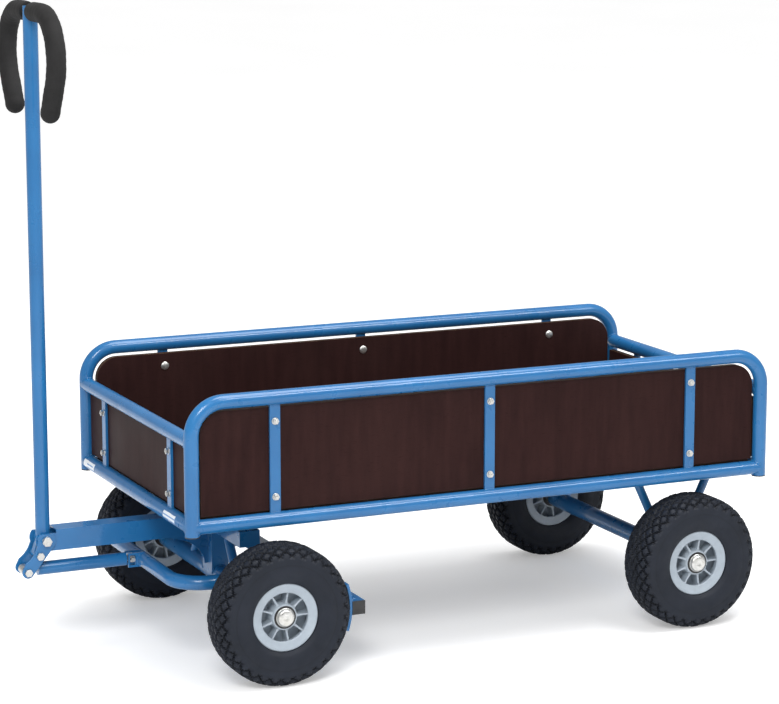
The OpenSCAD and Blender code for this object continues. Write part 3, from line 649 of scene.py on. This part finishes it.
def saddle(centre, main, branch, tube_r, bead, steps=64):
    """Points where a branch tube meets a main tube of the same size, kept within the tube's width."""
    main = Vector(main)
    branch = Vector(branch)
    third = main.cross(branch)
    widest = tube_r - 1.3 * bead
    points = []
    for i in range(steps + 1):
        a = 2 * math.pi * i / steps
        along = 1.03 * tube_r * math.cos(a)
        aside = max(-widest, min(widest, 1.03 * tube_r * math.sin(a)))
        out = tube_r * abs(math.cos(a))
        points.append(Vector(centre) + main * along + third * aside + branch * out)
    return points


def strut_beads(shape, tube_centre, wide, thick, tube_r, up, seed):
    """Beads along both faces of a flat strut where it meets a tube. Returns the next seed."""
    rise = up * math.sqrt(tube_r**2 - (STRUT_T / 2) ** 2)
    for face in (1, -1):
        middle = Vector(tube_centre) + Vector(thick) * face * STRUT_T / 2 + Vector((0, 0, rise))
        points = [middle + Vector(wide) * STRUT_W * (t / 8 - 0.5) for t in range(9)]
        add_bead(shape, points, 1.3 * MM, seed)
        seed += 1
    return seed


def box_welds():
    """Beads where rails, cross tubes and struts meet the legs and rails of the box."""
    shape = Shape()
    low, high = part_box("side_frame_left")
    tube_r = (high[1] - low[1]) / 2
    leg_x = high[0] - tube_r - BOX_X
    side_y = (high[1] + low[1]) / 2
    end_low, end_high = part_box("front_end_frame")
    rail_z = end_low[2] + tube_r
    end_top_z = end_high[2] - tube_r
    side_top_z = high[2] - tube_r
    bead = 1.7 * MM
    seed = 0
    for sx in (1, -1):
        for sy in (1, -1):
            seed += 1
            corner = (BOX_X + sx * leg_x, sy * side_y, rail_z)
            add_bead(shape, saddle(corner, (0, 0, 1), (-sx, 0, 0), tube_r, bead), bead, seed)
            for z in (rail_z, end_top_z):
                corner = (BOX_X + sx * leg_x, sy * side_y, z)
                add_bead(shape, saddle(corner, (0, 0, 1), (0, -sy, 0), tube_r, bead), bead, seed + 7)
    for sy in (1, -1):
        for offset in SIDE_STRUTS_X:
            for z, up in ((rail_z, 1), (side_top_z, -1)):
                place = (BOX_X + offset, sy * side_y, z)
                seed = strut_beads(shape, place, (1, 0, 0), (0, 1, 0), tube_r, up, seed)
    for sx in (1, -1):
        for y in END_STRUTS_Y:
            for z, up in ((rail_z, 1), (end_top_z, -1)):
                place = (BOX_X + sx * leg_x, y, z)
                seed = strut_beads(shape, place, (0, 1, 0), (1, 0, 0), tube_r, up, seed)
    mesh_piece("box_weld_beads", shape.verts, shape.faces, "frame_paint", "box", 60.0)


def line_bead(shape, start, end, radius, seed):
    """A bead along a straight seam."""
    start = Vector(start)
    end = Vector(end)
    count = max(int((end - start).length / (2.2 * MM)), 3)
    add_bead(shape, [start.lerp(end, i / count) for i in range(count + 1)], radius, seed)


def ring_bead(shape, centre, ring_r, low, high, radius, seed):
    """A bead round a Y axis, from one angle above +X to another, in degrees."""
    count = max(int(math.radians(high - low) * ring_r / (2.2 * MM)), 6)
    points = []
    for i in range(count + 1):
        a = math.radians(low + (high - low) * i / count)
        points.append(Vector(centre) + Vector((ring_r * math.cos(a), 0, ring_r * math.sin(a))))
    add_bead(shape, points, radius, seed)


def steering_welds():
    """Beads at the cross beam, the post's foot and the brake guides' feet."""
    shape = Shape()
    x, _, axle_z = centre_of("tyre_front_left")
    half = 20 * MM
    beam_low = 221 * MM
    beam_high = 249 * MM
    foot_y = 25.4 * MM
    guide_y = 214 * MM
    guide_half = 10.3 * MM
    bead = 1.9 * MM
    seed = 40
    for sx in (1, -1):
        for sy in (1, -1):
            place = (x + sx * half, sy * half)
            line_bead(shape, (*place, beam_low), (*place, beam_high), bead, seed)
            seed += 1
    for sy in (1, -1):
        ring_bead(shape, (x, sy * foot_y, axle_z), AXLE_R + 0.3 * MM, 4, 176, bead, seed)
        for edge in (-guide_half, guide_half):
            ring_bead(shape, (x, sy * guide_y + edge, axle_z), AXLE_R + 0.3 * MM, 48, 132, bead, seed + 9)
        seed += 1
    mesh_piece("steering_weld_beads", shape.verts, shape.faces, "frame_paint", "steering", 60.0)


def rear_axle_welds():
    """Beads round the feet of the V struts."""
    shape = Shape()
    x, _, axle_z = centre_of("tyre_rear_left")
    foot_y = 230 * MM
    foot_half = 7.6 * MM
    for sy in (1, -1):
        for edge in (-foot_half, foot_half):
            ring_bead(shape, (x, sy * foot_y + edge, axle_z), AXLE_R + 0.4 * MM, 14, 166, 1.9 * MM, 71)
    mesh_piece("rear_axle_weld_beads", shape.verts, shape.faces, "frame_paint", "box", 60.0)


def brake_welds():
    """Beads where the bow's arms meet the bar, at the lugs and along the shoes' gussets."""
    shape = Shape()
    low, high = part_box("brake_bar")
    bar_top = high[2]
    bar_front = high[0]
    bow_r = 13.5 * MM
    bow_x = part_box("brake_bow")[1][0] - bow_r - 17.5 * MM
    bow_z = 171 * MM
    arm_y = 214 * MM
    lug_y = 10.5 * MM
    shoe_y = 320 * MM
    shoe_x = (low[0] + high[0]) / 2
    seam_x = bar_front + 0.3 * MM
    for sy in (1, -1):
        for edge in (-5.4 * MM, 5.4 * MM):
            y = sy * arm_y + edge
            line_bead(shape, (seam_x, y, low[2] + 2 * MM), (seam_x, y, bar_top), 1.7 * MM, 81)
        for edge in (-2.4 * MM, 2.4 * MM):
            y = sy * lug_y + edge
            ring_bead(shape, (bow_x, y, bow_z), bow_r + 0.2 * MM, -62, 62, 1.5 * MM, 82)
        for edge in (-3.0 * MM, 3.0 * MM):
            y = sy * shoe_y + edge
            line_bead(shape, (shoe_x - 2 * MM, y, bar_top), (bar_front - 2 * MM, y, bar_top), 1.6 * MM, 83)
    mesh_piece("brake_weld_beads", shape.verts, shape.faces, "frame_paint", "brake", 60.0)


def dome_outline(radius, height, rows=7):
    """A shallow dome's profile as (radius, height) from the rim to the crown."""
    return [(radius * math.cos(math.pi / 2 * i / rows), height * math.sin(math.pi / 2 * i / rows))
            for i in range(rows + 1)]


def add_turned(shape, base, axis, profile, segments=24):
    """Turns a (radius, along) profile round an axis through base."""
    axis = Vector(axis).normalized()
    guide = Vector((0, 0, 1)) if abs(axis.z) < 0.8 else Vector((1, 0, 0))
    side = axis.cross(guide).normalized()
    other = axis.cross(side)
    rings = []
    for r, along in profile:
        middle = Vector(base) + axis * along
        reach = max(r, 0.05 * MM)
        rings.append([tuple(middle + reach * (math.cos(a) * side + math.sin(a) * other))
                      for a in (2 * math.pi * k / segments for k in range(segments))])
    shape.grid(rings, cap=True)


def panel_bolt_places():
    """Each panel bolt's strut face and outward direction, in the CAD's own layout."""
    side_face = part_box("side_panel_left")[1][1] + STRUT_T
    end_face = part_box("front_panel")[1][0] - BOX_X + STRUT_T
    for sy in (1, -1):
        for offset in SIDE_STRUTS_X:
            for z in SIDE_BOLTS_Z:
                yield Vector((BOX_X + offset, sy * side_face, z)), Vector((0, sy, 0))
    for sx in (1, -1):
        for y in END_STRUTS_Y:
            for z in END_BOLTS_Z:
                yield Vector((BOX_X + sx * end_face, y, z)), Vector((sx, 0, 0))


def build_panel_bolts():
    """Carriage bolts with true domed heads inside the box and thread crests outside the nuts."""
    shape = Shape()
    for face, out in panel_bolt_places():
        head = face - out * (BOARD + STRUT_T)
        profile = [(8.25 * MM, 0.0), (8.25 * MM, 0.5 * MM)]
        profile += [(r, 0.5 * MM + h) for r, h in dome_outline(8.2 * MM, 2.5 * MM)]
        add_turned(shape, head, -out, profile)
        thread = []
        for i in range(16):
            thread.append(((2.95 if i % 2 else 2.55) * MM, (0.4 + 0.45 * i) * MM))
        thread.append((2.2 * MM, 7.45 * MM))
        add_turned(shape, face, out, thread, 16)
    bolts = mesh_piece("domed_panel_bolts", shape.verts, shape.faces, "zinc", "box", 35.0)
    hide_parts("panel_bolts")


# ---------------------------------------------------------------- setting


def studio():
    """A pale seamless floor and soft light from large panels."""
    mesh = bpy.data.meshes.new("floor")
    half = 40.0
    corners = [(-half, -half, 0), (half, -half, 0), (half, half, 0), (-half, half, 0)]
    mesh.from_pydata(corners, [], [(0, 1, 2, 3)])
    floor = bpy.data.objects.new("floor", mesh)
    bpy.context.scene.collection.objects.link(floor)
    s = Shader("studio_floor")
    tone = s.mix(s.fit(s.noise(0.8, 2.0), 0.3, 0.7), rgb(0.88, 0.88, 0.88), rgb(0.91, 0.91, 0.91))
    s.set(Base_Color=tone, Roughness=0.75, Specular_IOR_Level=0.1)
    seen = s.nodes.new("ShaderNodeLightPath").outputs["Is Camera Ray"]
    s.set(Emission_Color=rgb(1.0, 1.0, 1.0), Emission_Strength=s.math("MULTIPLY", seen, 0.30))
    mesh.materials.append(s.material)
    add_sky()
    panel("key", (2.2, 3.4, 3.4), 1.6, 120.0)
    panel("top", (-0.8, 0.6, 4.2), 2.4, 130.0)
    add_gleam()
    bpy.context.scene.view_settings.view_transform = "Standard"


def add_sky():
    """A white surround that looks dimmer in reflections, so that highlights stay crisp."""
    in_diffuse = 0.80
    seen_directly = 0.20
    in_reflections = -0.42
    world = bpy.data.worlds.new("studio")
    bpy.context.scene.world = world
    world.use_nodes = True
    sky = world.node_tree.nodes["Background"]
    sky.inputs["Color"].default_value = (1.0, 1.0, 1.0, 1.0)
    nodes = world.node_tree.nodes
    links = world.node_tree.links
    path = nodes.new("ShaderNodeLightPath")
    strength = in_diffuse
    for ray, change in (("Is Camera Ray", seen_directly), ("Is Glossy Ray", in_reflections)):
        step = nodes.new("ShaderNodeMath")
        step.operation = "MULTIPLY_ADD"
        links.new(path.outputs[ray], step.inputs[0])
        step.inputs[1].default_value = change
        if isinstance(strength, float):
            step.inputs[2].default_value = strength
        else:
            links.new(strength, step.inputs[2])
        strength = step.outputs[0]
    links.new(strength, sky.inputs["Strength"])


def panel(name, place, size, power):
    light = bpy.data.lights.new(name, "AREA")
    light.size = size
    light.energy = power
    lamp = bpy.data.objects.new(name, light)
    lamp.location = place
    aim = Vector((0.0, 0.0, 0.35)) - Vector(place)
    lamp.rotation_euler = aim.to_track_quat("-Z", "Y").to_euler()
    bpy.context.scene.collection.objects.link(lamp)


def add_gleam():
    """A strip seen only in reflections, which draws the bright line along the lengthwise tubes."""
    light = bpy.data.lights.new("gleam", "AREA")
    light.shape = "RECTANGLE"
    light.size = 3.0
    light.size_y = 0.30
    light.energy = 95.0
    lamp = bpy.data.objects.new("gleam", light)
    lamp.location = (BOX_X - 1.7, 2.7, 2.9)
    lamp.rotation_euler = (math.radians(-44), 0.0, 0.0)
    lamp.visible_diffuse = False
    bpy.context.scene.collection.objects.link(lamp)


def add_camera():
    """A long lens from the front left corner, a little above the side rail."""
    target = Vector((BOX_X + 0.0663, 0.0, 0.5371))
    distance = 5.166
    azimuth = math.radians(155.54)
    elevation = math.radians(10.36)
    back = Vector((math.sin(azimuth) * math.cos(elevation), -math.cos(azimuth) * math.cos(elevation),
                   math.sin(elevation)))
    camera = bpy.data.cameras.new("camera")
    camera.sensor_width = 36.0
    camera.lens = 123.0
    camera.shift_x = -0.0017
    camera.shift_y = -0.0064
    camera.clip_end = 100.0
    eye = bpy.data.objects.new("camera", camera)
    eye.location = target + back * distance
    eye.rotation_euler = back.to_track_quat("Z", "Y").to_euler()
    bpy.context.scene.collection.objects.link(eye)
    bpy.context.scene.camera = eye


dress_frame()
for place, body in WHEELS.items():
    build_tyre(place, body)
    build_rim(place, body)
build_caps("front_axle_caps", "steering")
build_caps("rear_axle_caps", "box")
build_grips()
build_panel_bolts()
box_welds()
steering_welds()
rear_axle_welds()
brake_welds()
studio()
add_camera()
